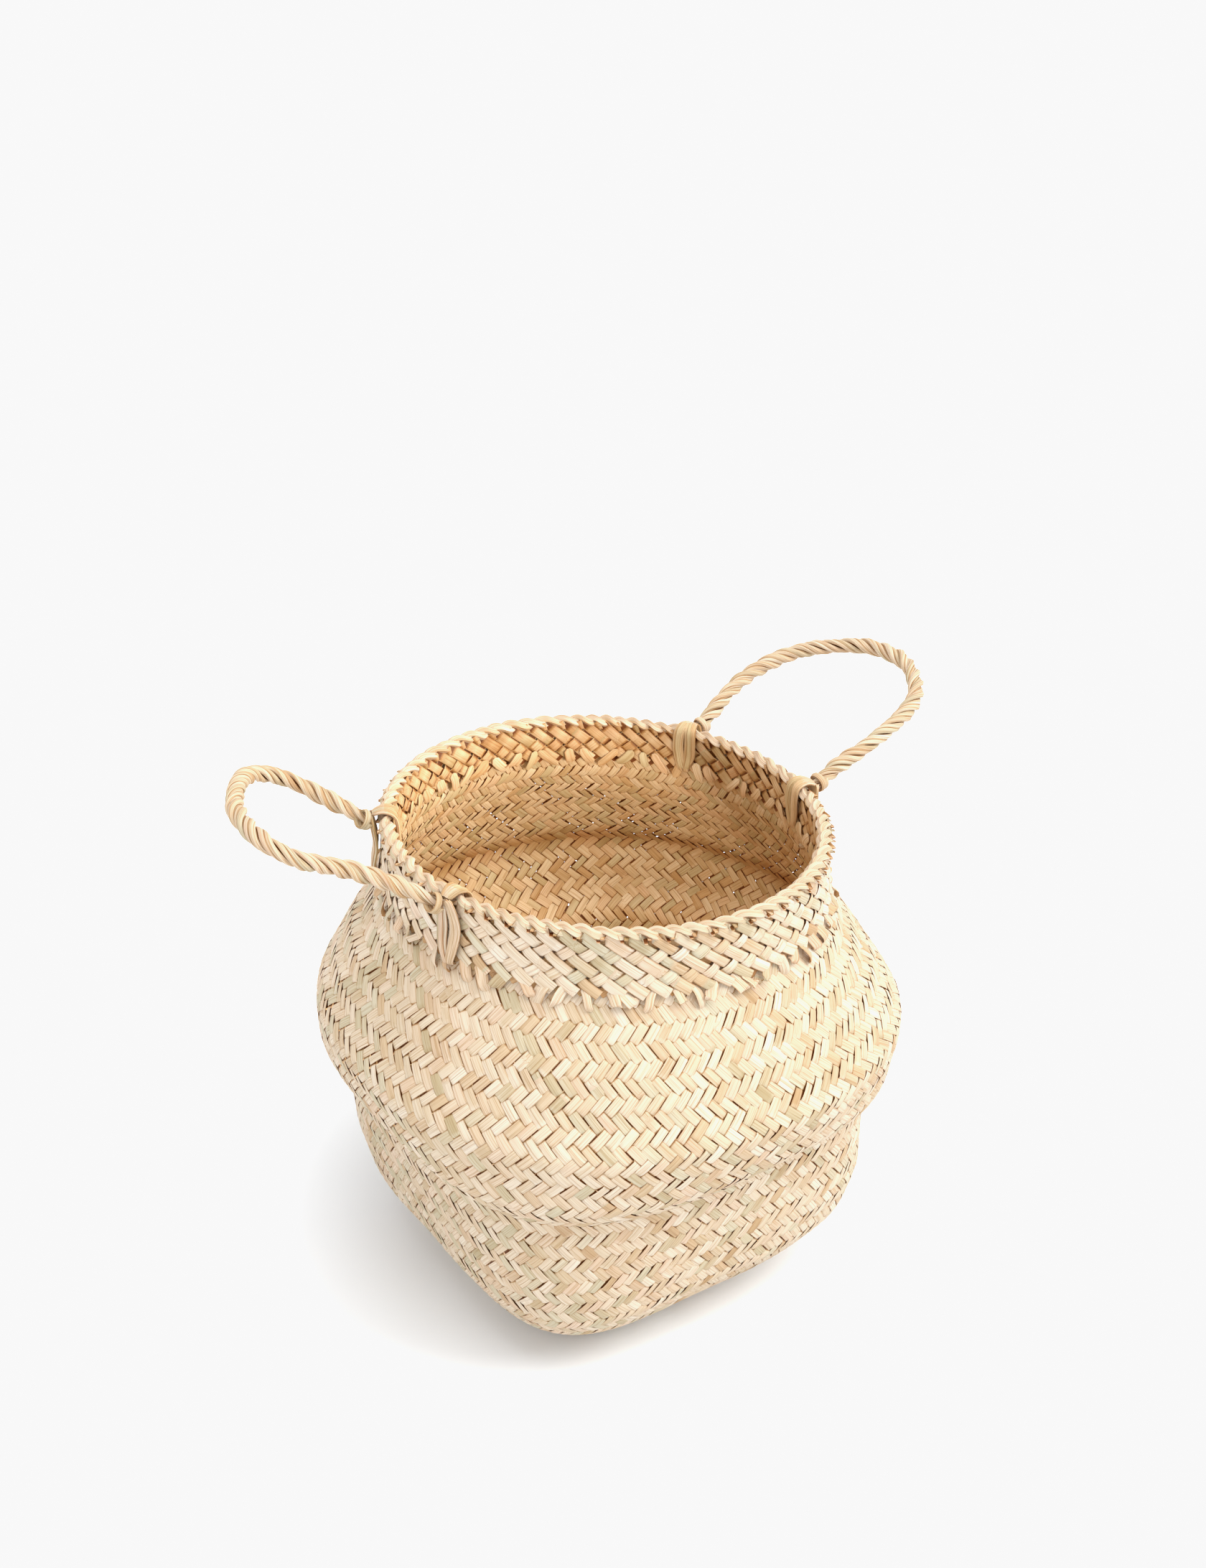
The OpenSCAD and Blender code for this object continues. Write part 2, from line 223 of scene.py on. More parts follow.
def weave(name, line, length, count, cell, sign, pattern, lift, width, thick, groups, material, gap_shade=1.0):
    """One family of diagonal strips on a shell; sign -1 leans left going up, 1 leans right."""
    # Heights of the crossing rows along the line
    s_of = [0.0]
    while s_of[-1] < length:
        row = [np.interp(s_of[-1], line[0], line[1][:, k]) for k in (1, 2)]
        h = perimeter(*row) / (2 * count)
        s_of.append(s_of[-1] + math.sqrt(max(cell**2 - h**2, (0.35 * cell) ** 2)))
    rows = len(s_of) - 1
    states = np.array([pattern[k % len(pattern)] for k in range(rows + 2)]) * (-sign)
    rho = []
    for k in range(rows):
        steps = (0, 0.5) if states[k] == states[k + 1] else (0, 0.3, 0.5, 0.7)
        rho += [k + f for f in steps]
    rho = np.array(rho + [rows])
    s = np.interp(rho, np.arange(rows + 1), s_of)
    shell_rows = np.stack([np.interp(s, line[0], line[1][:, k]) for k in range(3)], 1)
    i = np.arange(count)[:, None]
    u = (2 * i + sign * rho[None]) / (2 * count)
    P = shell_points(shell_rows, u)
    T = unit(np.gradient(P, axis=1))
    across = shell_points(shell_rows, u + 0.0004) - P
    N = unit(np.cross(across, T)) * sign
    out = np.sign((N[..., :2] * P[..., :2]).sum(-1) - N[..., 2] * 0.02)[..., None]
    N = N * np.where(out == 0, 1, out)
    B = np.cross(N, T)
    k = np.minimum(rho.astype(int), rows - 1)
    f = rho - k
    a, b = states[k], states[k + 1]
    crown = np.where(a == b, a * (1 + 0.25 * np.sin(math.pi * f)), a + (b - a) * smoothstep((f - 0.25) / 0.5))
    height = lift * crown[None]
    shape = P.shape[:2]
    wave = lambda size, low, high: size * np.sin(
        RNG.uniform(low, high, (count, 1)) * rho[None] + RNG.uniform(0, 6.28, (count, 1)))
    side = wave(0.00034, 0.1, 0.5)
    float_id = (k + (states[0] != states[1])) // 2
    patch = RNG.random((count, rows // 2 + 3))[:, float_id]
    tilt = np.radians(6) * (RNG.random((count, rows // 2 + 3))[:, float_id] - 0.5) * 2
    wide = width * RNG.uniform(0.84, 1.08, (count, 1)) * (1 + wave(0.06, 0.3, 0.9))
    deep = thick * np.ones(shape)
    # Each strip is spliced a few times, so its kind of leaf changes
    kinds, ids = np.empty(shape), np.empty(shape)
    for m in range(count):
        cuts = np.sort(RNG.uniform(0, rows, 2))
        part = np.searchsorted(cuts, rho)
        kinds[m] = RNG.random(3)[part]
        ids[m] = RNG.random(3)[part]
    shades = np.clip(RNG.normal(0.5, 0.16, (count, 1)) + wave(0.1, 0.05, 0.3), 0, 1)
    along = s[None] + RNG.random((count, 1))
    P = P + N * height[..., None] + B * side[..., None]
    # Painted shade in the gaps: the under parts of each strip get a low fourth leaf channel, which the
    # material darkens
    over = (1 - gap_shade + gap_shade * crown)[None] * np.ones(shape)
    verts, leaf, grain = leaf_sections(P, N, B, wide, deep, tilt, kinds, shades, patch, along, ids, over)
    objs = []
    for g, strips in enumerate(np.array_split(np.arange(count), groups)):
        faces = tube_faces(len(strips), len(rho), len(LEAF_X))
        objs.append(make_piece(f"{name}_{g + 1}", verts[strips], faces, leaf[strips], grain[strips],
                               material))
    return objs


# ---------------------------------------------------------------- materials
def linear(r, g, b):
    """A display colour of 0 to 255 as the linear colour that a socket takes."""
    parts = (r / 255, g / 255, b / 255)
    return tuple((c / 12.92 if c <= 0.04045 else ((c + 0.055) / 1.055) ** 2.4) for c in parts) + (1,)


def leaf_material(name, dark=1.0, fibre=1.0, glow=0.22, inner=0.0):
    mat = bpy.data.materials.new(name)
    mat.use_nodes = True
    nodes, links = mat.node_tree.nodes, mat.node_tree.links
    nodes.clear()

    def node(kind, **values):
        n = nodes.new(kind)
        for key, value in values.items():
            setattr(n, key, value)
        return n

    def math_node(op, a, b=None, clamp=False):
        n = node("ShaderNodeMath", operation=op, use_clamp=clamp)
        for k, v in enumerate((a, b)):
            if v is None:
                continue
            if isinstance(v, (int, float)):
                n.inputs[k].default_value = v
            else:
                links.new(v, n.inputs[k])
        return n.outputs[0]

    def mix(kind, factor, a, b):
        n = node("ShaderNodeMix", data_type="RGBA", blend_type=kind)
        for key, v in (("Factor", factor), ("A", a), ("B", b)):
            kind_of = "VALUE" if key == "Factor" else "RGBA"
            socket = [q for q in n.inputs if q.name == key and q.type == kind_of][0]
            if isinstance(v, (int, float, tuple)):
                socket.default_value = v
            else:
                links.new(v, socket)
        return [q for q in n.outputs if q.type == "RGBA"][0]

    def ramp(factor, stops, interpolation="LINEAR"):
        n = node("ShaderNodeValToRGB")
        n.color_ramp.interpolation = interpolation
        while len(n.color_ramp.elements) < len(stops):
            n.color_ramp.elements.new(0.5)
        for e, (at, colour) in zip(n.color_ramp.elements, stops):
            e.position, e.color = at, colour
        links.new(factor, n.inputs[0])
        return n.outputs[0]

    def noise(x, y, z, sx, sy, sz, detail=2.0):
        v = node("ShaderNodeCombineXYZ")
        for k, (c, scale) in enumerate(((x, sx), (y, sy), (z, sz))):
            links.new(math_node("MULTIPLY", c, scale), v.inputs[k])
        n = node("ShaderNodeTexNoise")
        n.inputs["Scale"].default_value = 1.0
        n.inputs["Detail"].default_value = detail
        links.new(v.outputs[0], n.inputs["Vector"])
        return n.outputs["Fac"]

    leaf = node("ShaderNodeSeparateColor")
    leaf_points = node("ShaderNodeAttribute", attribute_name="leaf")
    links.new(leaf_points.outputs["Color"], leaf.inputs[0])
    grain = node("ShaderNodeSeparateColor")
    links.new(node("ShaderNodeAttribute", attribute_name="grain").outputs["Color"], grain.inputs[0])
    kind, shade, patch = leaf.outputs
    along, across, strip = grain.outputs

    base = ramp(kind, [
        (0.00, linear(252, 242, 220)), (0.30, linear(249, 236, 210)), (0.52, linear(247, 230, 202)),
        (0.68, linear(247, 226, 199)), (0.74, linear(234, 226, 196)), (0.86, linear(226, 219, 189)),
        (0.93, linear(238, 216, 180)), (1.00, linear(226, 197, 155))])
    # Slow changes of tone along a leaf and from float to float
    slow = noise(along, across, strip, 22, 1.2, 60)
    tone = math_node("ADD", math_node("MULTIPLY", shade, 0.5), math_node("MULTIPLY", patch, 0.3))
    tone = math_node("ADD", tone, math_node("MULTIPLY", slow, 0.5))
    base = mix("MULTIPLY", 1.0, base, ramp(tone, [
        (0.25, linear(222, 206, 178)), (0.55, linear(246, 241, 230)), (0.85, linear(255, 255, 253))]))
    # Lengthwise fibres
    streak = noise(along, across, strip, 38, 9, 90, 3.0)
    fine = noise(along, across, strip, 90, 30, 50, 2.0)
    base = mix("MULTIPLY", 0.55 * fibre, base, ramp(streak, [
        (0.36, linear(220, 194, 158)), (0.52, linear(255, 255, 255))]))
    base = mix("MULTIPLY", 0.35 * fibre, base, ramp(fine, [
        (0.34, linear(224, 200, 168)), (0.56, linear(255, 255, 255))]))
    # Tan edges, and a fold line on some leaves
    edge = math_node("ABSOLUTE", math_node("SUBTRACT", across, 0.5))
    base = mix("MULTIPLY", 0.75, base, ramp(edge, [
        (0.43, linear(255, 255, 255)), (0.495, linear(208, 166, 116))]))
    fold_at = math_node("ADD", math_node("MULTIPLY", strip, 0.5), 0.25)
    fold = math_node("ABSOLUTE", math_node("SUBTRACT", across, fold_at))
    fold = math_node("ADD", fold, math_node("MULTIPLY", math_node("LESS_THAN", shade, 0.55), 1.0))
    base = mix("MULTIPLY", 0.5, base, ramp(fold, [
        (0.0, linear(186, 142, 92)), (0.035, linear(255, 255, 255))]))
    # Painted shade: where a strip dives under its neighbour, and in creases between strands, the fourth leaf
    # channel darkens the leaf to brown
    base = mix("MULTIPLY", 1.0, base, ramp(leaf_points.outputs["Alpha"], [
        (0.18, linear(138, 90, 48)), (0.45, linear(218, 190, 152)), (0.66, linear(255, 255, 255))]))
    # Painted shade and painted bounce light: faces turned towards the axis (strength inner) are tinted golden
    # all over and darkened in a band at the belly's widest line
    place = node("ShaderNodeSeparateXYZ")
    links.new(node("ShaderNodeTexCoord").outputs["Object"], place.inputs[0])
    facing = node("ShaderNodeSeparateXYZ")
    links.new(node("ShaderNodeNewGeometry").outputs["True Normal"], facing.inputs[0])
    outward = math_node("ADD", math_node("MULTIPLY", place.outputs[0], facing.outputs[0]),
                        math_node("MULTIPLY", place.outputs[1], facing.outputs[1]))
    inner_shade_mask = math_node("MULTIPLY", math_node("LESS_THAN", outward, 0.0), inner)
    crease = math_node("ABSOLUTE", math_node("SUBTRACT", place.outputs[2], SHADE_CREASE_Z))
    base = mix("MULTIPLY", inner_shade_mask, base, ramp(crease, [
        (0.0, linear(214, 182, 138)), (0.012, linear(251, 242, 220)), (0.03, linear(253, 243, 222))]))
    base = mix("MULTIPLY", 1.0, base, (0.90 * dark, 0.885 * dark**1.3, 0.93 * dark**1.8, 1))

    shader = node("ShaderNodeBsdfPrincipled")
    links.new(base, shader.inputs["Base Color"])
    shader.inputs["Roughness"].default_value = 0.52
    shader.inputs["Specular IOR Level"].default_value = 0.35
    height = math_node("ADD", math_node("MULTIPLY", streak, 0.6), math_node("MULTIPLY", fine, 0.4))
    bump = node("ShaderNodeBump")
    bump.inputs["Strength"].default_value = 0.5
    bump.inputs["Distance"].default_value = 0.0004
    links.new(height, bump.inputs["Height"])
    links.new(bump.outputs[0], shader.inputs["Normal"])
    # Dried leaf lets a little warm light through
    through = node("ShaderNodeBsdfTranslucent")
    links.new(mix("MULTIPLY", 1.0, base, linear(255, 226, 178)), through.inputs["Color"])
    both = node("ShaderNodeMixShader")
    both.inputs[0].default_value = glow
    links.new(shader.outputs[0], both.inputs[1])
    links.new(through.outputs[0], both.inputs[2])
    out = node("ShaderNodeOutputMaterial")
    links.new(both.outputs[0], out.inputs[0])
    return mat


# inner=1.0 turns on the painted golden tint and painted crease shade on faces towards the axis
WALL_LEAF = leaf_material("woven_leaf", inner=1.0)
BASE_LEAF = leaf_material("base_leaf", dark=0.97)
BAND_LEAF = leaf_material("band_leaf", dark=1.07, inner=1.0)
TWIST_LEAF = leaf_material("twist_leaf", dark=1.0, fibre=1.3)
TUCK_LEAF = leaf_material("tuck_leaf", dark=1.0, fibre=1.3, inner=1.0)
ROPE_LEAF = leaf_material("rope_leaf", dark=0.97, fibre=1.5)
SLING_LEAF = leaf_material("sling_leaf", dark=0.97, fibre=1.5, inner=1.0)

# ---------------------------------------------------------------- walls
wall_s, wall_line = smooth_line(OUTLINE, 0.0005, 0.0018)
wall_mid = (wall_s, offset_line(wall_line, -0.0012))
TWILL = (1, 1, -1, -1)
wall_pieces = []
for sign, label in ((-1, "left_lay"), (1, "right_lay")):
    wall_pieces += weave(f"wall_{label}", wall_mid, wall_s[-1] - 0.001, STRIPS, CELL, sign, TWILL,
                         WALL_LIFT, WALL_WIDTH, WALL_THICK, 6, WALL_LEAF)
for piece in wall_pieces:
    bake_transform(piece)
    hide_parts("lower_wall", "waist_fold", "belly_wall")


# ---------------------------------------------------------------- base mat
def base_mat():
    pitch = CELL
    reach = int(BASE_HALF * 1.5 / pitch)
    all_v, all_l, all_g, all_f, count = [], [], [], [], 0
    for family in (0, 1):
        for i in range(-reach, reach + 1):
            t = np.arange(-reach, reach + 1) * 1.0
            fine = np.unique(np.concatenate([t, t + 0.3, t + 0.5, t + 0.7]))
            k = np.floor(fine).astype(int)
            f = fine - k
            sgn = 1 if family == 0 else -1
            state = lambda q: np.where(np.mod((q + i), 4) < 2, 1, -1) * sgn
            a, b = state(k), state(k + 1)
            lift = 0.00046 * np.where(a == b, a, a + (b - a) * smoothstep((f - 0.25) / 0.5))
            p, q = fine * pitch, np.full_like(fine, i * pitch)
            if family == 1:
                p, q = q, p
            x, y = (p - q) * math.sqrt(0.5), (p + q) * math.sqrt(0.5)
            keep = (np.abs(x) ** 4.1 + np.abs(y) ** 4.1) ** (1 / 4.1) < BASE_HALF + 0.001
            if keep.sum() < 6:
                continue
            x, y, lift, run = x[keep], y[keep], lift[keep], fine[keep] * pitch
            P = np.stack([x, y, 0.0018 + lift], 1)[None]
            N = np.broadcast_to(np.array([0, 0, 1.0]), P.shape)
            T = unit(np.gradient(P * [1, 1, 0], axis=1))
            B = np.cross(N, T)
            s = P.shape[:2]
            one = np.ones(s)
            v, l, g = leaf_sections(
                P, N, B, 0.0051 * one, 0.0005 * one, 0 * one, RNG.random() * one,
                RNG.normal(0.5, 0.15) * one, RNG.random() * one, run[None] + RNG.random(), RNG.random() * one)
            all_f.append(tube_faces(1, s[1], len(LEAF_X)) + count)
            count += s[1] * len(LEAF_X)
            all_v.append(v.reshape(-1, 3))
            all_l.append(l.reshape(-1, 4))
            all_g.append(g.reshape(-1, 3))
    return make_piece("base_weave", np.concatenate(all_v), np.concatenate(all_f), np.concatenate(all_l),
                      np.concatenate(all_g), BASE_LEAF)


base_piece = base_mat()
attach(base_piece, "lower_body")
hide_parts("base_mat")

# ---------------------------------------------------------------- rim band
OVER_TWO = (1, 1, -1)
for layer, out, node in (("outer", 0.00135, "rim_band_outer"), ("inner", -0.0036, "rim_band_inner")):
    rows = BAND_ROWS.copy()
    if layer == "inner":
        rows = rows[1:]
    rows[:, 1] += NECK_RADIUS
    band_s, band_line = smooth_line(rows, 0.0004, 0.0015)
    band_line[:, 1] += out
    for sign, label in ((-1, "left_lay"), (1, "right_lay")):
        for piece in weave(f"band_{layer}_{label}", (band_s, band_line), band_s[-1] - 0.001, BAND_STRIPS,
                           BAND_CELL, sign, OVER_TWO, BAND_LIFT, BAND_WIDTH, BAND_THICK, 1, BAND_LEAF,
                           0.55):
            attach(piece, "upper_body")
            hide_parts(node)


# ---------------------------------------------------------------- twisted strands
def strand_piece(name, centre, frame_n, frame_b, radius, squash, spin, lobes, material, closed=False,
                 sides=18):
    """A bundle of leaves along one line: its section has a few lobes that turn along it."""
    n = len(centre)
    w = np.arange(sides) * 2 * math.pi / sides
    along = np.concatenate([[0], np.cumsum(np.linalg.norm(np.diff(centre, axis=0), axis=1))])
    turn = along[:, None] * spin
    crest = np.abs(np.cos(lobes * (w[None] + turn) / 2))
    ripple = 0.34 * (crest - 0.6) + 0.05 * np.cos((lobes + 2) * (w[None] - turn * 0.6) + 1.0)
    knots = np.sin(along[:, None] * 210 + 2 * w[None] + RNG.uniform(0, 6))
    ripple += 0.05 * knots * np.sin(along[:, None] * 83)
    r = radius[:, None] * (1 + ripple)
    verts = centre[:, None] + frame_n[:, None] * (r * np.cos(w) * squash)[..., None]
    verts = verts + frame_b[:, None] * (r * np.sin(w))[..., None]
    if not closed:
        for end in (0, -1):
            verts[end] = centre[end] + (verts[end] - centre[end]) * 0.15
    lobe = np.mod((w[None] + turn) * lobes / (2 * math.pi) + 0.5, 1)
    which = np.floor((w[None] + turn) * lobes / (2 * math.pi) + 0.5) % 5
    table = RNG.random((5, 3))
    which = which.astype(int)
    # Painted shade: grooves between the lobes get a low fourth leaf channel, which the material darkens
    open_sky = 0.28 + 0.72 * np.clip(1.6 * crest, 0, 1)
    if not closed:
        # The side towards the rope's middle lies in the crease between strands: painted shade darkens it
        open_sky = np.minimum(open_sky, np.clip((np.cos(w)[None] + 0.62) / 0.7, 0.1, 1))
    leaf = np.stack([table[which, 0], 0.35 + 0.5 * table[which, 1], table[which, 2], open_sky], -1)
    grain = np.stack([np.broadcast_to(along[:, None], lobe.shape), lobe, table[which, 2]], -1)
    return make_piece(name, verts[None], tube_faces(1, n, sides, closed), leaf[None], grain[None], material)


def edge_ring():
    turns, radius, steps = 40, 0.1138, 40 * 12
    angle = np.arange(steps) * 2 * math.pi / steps
    spoke = np.stack([np.cos(angle), np.sin(angle), 0 * angle], 1)
    up = np.array([[0, 0, 1.0]])
    for ply in (0, 1):
        wind = -turns * angle + math.pi * ply + 0.9 * np.sin(4 * angle) + 0.5 * np.sin(9 * angle + 1)
        lump = 1 + 0.09 * np.sin(5 * angle + ply) + 0.10 * np.sin(13 * angle + 2 * ply)
        centre = spoke * (radius + 0.0019 * np.cos(wind))[:, None]
        z = RIM_HEIGHT - 0.0016 + 0.0014 * np.sin(wind)
        centre[:, 2] = leaned(centre[:, 0], z)
        piece = strand_piece(f"rim_twist_{ply + 1}", centre, spoke, np.repeat(up, steps, 0), 0.0021 * lump,
                             1.05, 0, 4, TWIST_LEAF, closed=True, sides=14)
        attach(piece, "upper_body")
        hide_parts("rim_edge")


edge_ring()


# ---------------------------------------------------------------- leaf ends and slings
def smooth_through(points, steps, end):
    """A smooth curve through points: positions along it, counted in points, and the curve's points."""
    t = np.linspace(0, end, steps)
    k = np.minimum(t.astype(int), len(points) - 2)
    f = (t - k)[:, None]
    p0, p1, p2, p3 = (points[np.clip(k + d, 0, len(points) - 1)] for d in (-1, 0, 1, 2))
    square = 2 * p0 - 5 * p1 + 4 * p2 - p3
    cube = 3 * p1 - p0 - 3 * p2 + p3
    return t, 0.5 * (2 * p1 + (p2 - p0) * f + square * f**2 + cube * f**3)


def leaf_path(points, width, thick, steps, twist):
    """One leaf along points (K, 3), with its normals away from the basket's axis."""
    points = np.array(points, float)
    t, P = smooth_through(points, steps, len(points) - 1)
    T = unit(np.gradient(P, axis=0))
    side = unit(np.cross(np.array([[0, 0, 1.0]]), P * [1, 1, 0]))
    B = unit(side - T * (side * T).sum(1, keepdims=True))
    N = np.cross(T, B)
    run = np.concatenate([[0], np.cumsum(np.linalg.norm(np.diff(P, axis=0), axis=1))])
    one = np.ones((1, steps))
    ends = np.clip(np.minimum(t, t[::-1]) * 6 + 0.35, 0, 1)[None]
    return leaf_sections(P[None], N[None], B[None], width * ends, thick * one, twist * one,
                         RNG.random() * one, RNG.uniform(0.3, 0.75) * one, RNG.random() * one,
                         run[None] + RNG.random(), RNG.random() * one)


def join_leaves(name, leaves, material):
    faces, count = [], 0
    for v, _, _ in leaves:
        faces.append(tube_faces(1, v.shape[1], len(LEAF_X)) + count)
        count += v.shape[1] * len(LEAF_X)
    flat = [np.concatenate([leaf[k].reshape(-1, leaf[k].shape[-1]) for leaf in leaves]) for k in range(3)]
    return make_piece(name, flat[0], np.concatenate(faces), flat[1], flat[2], material)


def around(bearing, radius, side, drop):
    """A point near the rim: radius from the axis, side along the rim, drop below the rim's top."""
    b = bearing + side / radius
    x, y = radius * math.cos(b), radius * math.sin(b)
    return [x, y, RIM_HEIGHT - RIM_SLOPE * x - drop]


def tucks():
    leaves = []
    for i in range(70):
        b = 2 * math.pi * (i + RNG.uniform(-0.25, 0.25)) / 70
        lean = RNG.choice([-1, 1], p=[0.3, 0.7]) * RNG.uniform(0.001, 0.004)
        low = RNG.uniform(0.0370, 0.0440)
        lift = RNG.uniform(0.0012, 0.0038)
        flare = NECK_RADIUS + 0.0032
        leaves.append(leaf_path([around(b, flare - 0.001, -lean, 0.031), around(b, flare + 0.0012, 0, 0.0345),
                                 around(b, flare + 0.001 + lift, lean * 0.7, (low + 0.0345) / 2 + 0.0005),
                                 around(b, flare + lift * 0.6 + 0.001, lean * 1.3, low)],
                                RNG.uniform(0.0038, 0.0066), 0.0007, steps=8, twist=RNG.uniform(-0.6, 0.6)))
    for i in range(64):
        b = 2 * math.pi * (i + RNG.uniform(-0.3, 0.3)) / 64
        lean = RNG.choice([-1, 1]) * RNG.uniform(0.001, 0.006)
        low = RNG.uniform(0.026, 0.031)
        leaves.append(leaf_path([around(b, NECK_RADIUS - 0.0046, -lean, 0.018),
                                 around(b, NECK_RADIUS - 0.0050, 0, 0.0235),
                                 around(b, NECK_RADIUS - 0.0036, lean, low)],
                                RNG.uniform(0.0040, 0.0058), 0.0006, steps=7, twist=RNG.uniform(-0.3, 0.3)))
    piece = join_leaves("tuck_ends", leaves, TUCK_LEAF)
    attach(piece, "upper_body")
    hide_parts("rim_tucks")


tucks()


def sling(side, place, turn):
    foot = BEARING[side] + turn * math.asin(HALF_GAP / BAND_RADIUS)
    leaves = []
    for k in (-1, 1):
        for j in (0, 1, 2):
            d = (j - 1) * 0.0017
            spread = k * 0.0042 + d
            r = BAND_RADIUS + 0.0016 + 0.0008 * (j == 1)
            leaves.append(leaf_path([around(foot, r + 0.0028, k * 0.0014 + d * 0.5, -0.0010),
                                     around(foot, r + 0.0016, spread * 0.8, 0.006),
                                     around(foot, r + 0.0006, spread, 0.016),
                                     around(foot, r + 0.0022, spread * 0.75, 0.027),
                                     around(foot, r + 0.0018, spread * 0.25, 0.0355),
                                     around(foot, r - 0.0040, spread * 0.15, 0.0385)],
                                    0.0042, 0.0016, steps=22, twist=RNG.uniform(-0.35, 0.35)))
            inner = NECK_RADIUS - 0.0062 - 0.0006 * (j == 1)
            leaves.append(leaf_path([around(foot, BAND_RADIUS + 0.0036, k * 0.0010 + d * 0.5, -0.0012),
                                     around(foot, NECK_RADIUS, k * 0.0018 + d, -0.0036),
                                     around(foot, inner + 0.0006, k * 0.0030 + d, -0.0012),
                                     around(foot, inner - 0.0006, k * 0.0036 + d, 0.007),
                                     around(foot, inner, k * 0.0032 + d, 0.014),
                                     around(foot, inner + 0.001, k * 0.0016 + d * 0.4, 0.020 + 0.002 * j),
                                     around(foot, inner + 0.005, k * 0.0006, 0.024)],
                                    0.0032, 0.0014, steps=24, twist=RNG.uniform(-0.35, 0.35)))
    piece = join_leaves(f"{side}_{place}_sling_leaves", leaves, SLING_LEAF)
    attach(piece, "upper_body")
    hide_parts(f"{side}_{place}_sling")


SLINGS = (("right", "front", -1), ("right", "rear", 1), ("left", "front", 1), ("left", "rear", -1))
for side, place, turn in SLINGS:
    sling(side, place, turn)


# ---------------------------------------------------------------- handles
# Middle line of a rope loop from foot to foot, as shares of the half gap and the reach
HALF_LOOP = [(1, 0), (1.05, 0.17), (1.12, 0.33), (1.14, 0.48), (1.09, 0.65), (0.93, 0.80), (0.61, 0.92),
             (0.30, 0.985)]
LOOP = np.array([(-side, up) for side, up in HALF_LOOP] + [(0, 1.0)] + HALF_LOOP[::-1])
# How far a loop hangs over sideways at its end, and how much each leg bows out
HANG = {"right": -0.001, "left": -0.009}
BOW = {"right": (-0.09, 0.07), "left": (0.50, -0.46)}


def handle_frame(side):
    b, lean = BEARING[side], LEAN[side]
    rad = np.array([math.cos(b), math.sin(b), 0])
    tan = np.array([-math.sin(b), math.cos(b), 0])
    up = np.array([0, 0, 1.0])
    away = up * math.cos(lean) + rad * math.sin(lean)
    pivot = rad * PIVOT_OUT + up * (RIM_HEIGHT - RIM_SLOPE * FOOT_RADIUS * math.cos(b) + PIVOT_UP)
    return pivot, tan, away, np.cross(tan, away)


def rope(side):
    pivot, tan, away, face = handle_frame(side)
    share, up = LOOP[:, 0], LOOP[:, 1]
    bow = np.where(share < 0, -BOW[side][0], BOW[side][1]) * np.abs(share) * np.sin(math.pi * up) * HALF_GAP
    line = np.stack([share * HALF_GAP + bow + HANG[side] * up**2, up * REACH[side], 0 * up], 1)
    C = smooth_through(line, 900, len(line) - 1.0001)[1]
    run = np.concatenate([[0], np.cumsum(np.linalg.norm(np.diff(C, axis=0), axis=1))])
    even = np.linspace(0, run[-1], 360)
    C = np.stack([np.interp(even, run, C[:, q]) for q in range(3)], 1)
    world = pivot + C[:, :1] * tan + C[:, 1:2] * away + C[:, 2:] * face
    T = unit(np.gradient(world, axis=0))
    F = np.repeat(face[None], len(world), 0)
    S = unit(np.cross(F, T))
    ends = np.minimum(even, even[-1] - even)
    thin = 0.62 + 0.38 * smoothstep(ends / 0.022)
    lump = 1 + 0.05 * np.sin(even * 95) + 0.04 * np.sin(even * 237 + 1)
    for ply, letter in enumerate("abc"):
        wind = 2 * math.pi * (even / LAY_LENGTH + ply / 3 + 0.03 * np.sin(even * 60))
        lay = 0.0025 * thin * lump
        centre = world + S * (lay * np.cos(wind))[:, None] + F * (lay * np.sin(wind))[:, None]
        # The strand's section turns with the lay, so its flat side faces outwards
        n = S * np.cos(wind)[:, None] + F * np.sin(wind)[:, None]
        b = np.cross(unit(np.gradient(centre, axis=0)), n)
        radius = 0.0023 * thin * lump * (1 + 0.10 * np.sin(even * 130 + 2 * ply))
        piece = strand_piece(f"{side}_rope_{letter}", centre, n, b, radius, 0.9, 16, 3, ROPE_LEAF, sides=24)
        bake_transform(piece)
        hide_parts(f"{side}_handle_strand_{letter}")
    # A leaf wrapped round each foot
    leaves = []
    for foot_at in (-1, 1):
        base = pivot + tan * (foot_at * HALF_GAP)
        w = np.linspace(0, 2 * math.pi * 1.6, 30)
        r = 0.0047
        P = base + (r * np.cos(w))[:, None] * tan + (r * np.sin(w))[:, None] * face
        P = P + away * (0.003 + 0.0022 * w / 6.28)[:, None]
        N = unit((P - base) - away * ((P - base) @ away)[:, None])
        T = unit(np.gradient(P, axis=0))
        B = np.cross(N, T)
        one = np.ones((1, 30))
        leaves.append(leaf_sections(P[None], N[None], B[None], 0.0036 * one, 0.0012 * one, 0 * one,
                                    RNG.random() * one, 0.45 * one, RNG.random() * one, (r * w)[None],
                                    RNG.random() * one))
    piece = join_leaves(f"{side}_foot_wrap_leaves", leaves, ROPE_LEAF)
    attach(piece, f"{side}_handle")
    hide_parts(f"{side}_foot_wraps")


for side in ("right", "left"):
    rope(side)

# ---------------------------------------------------------------- stage, light and camera
# Softboxes: name, direction towards the lamp, strength, softness in degrees, colour
SOFTBOXES = [("side_softbox", (0.511, -0.493, 0.72), 1.85, 32, (1.0, 0.985, 0.96)),
             ("top_softbox", (-0.014, -0.233, 0.95), 1.4, 40, (1.0, 0.99, 0.97))]
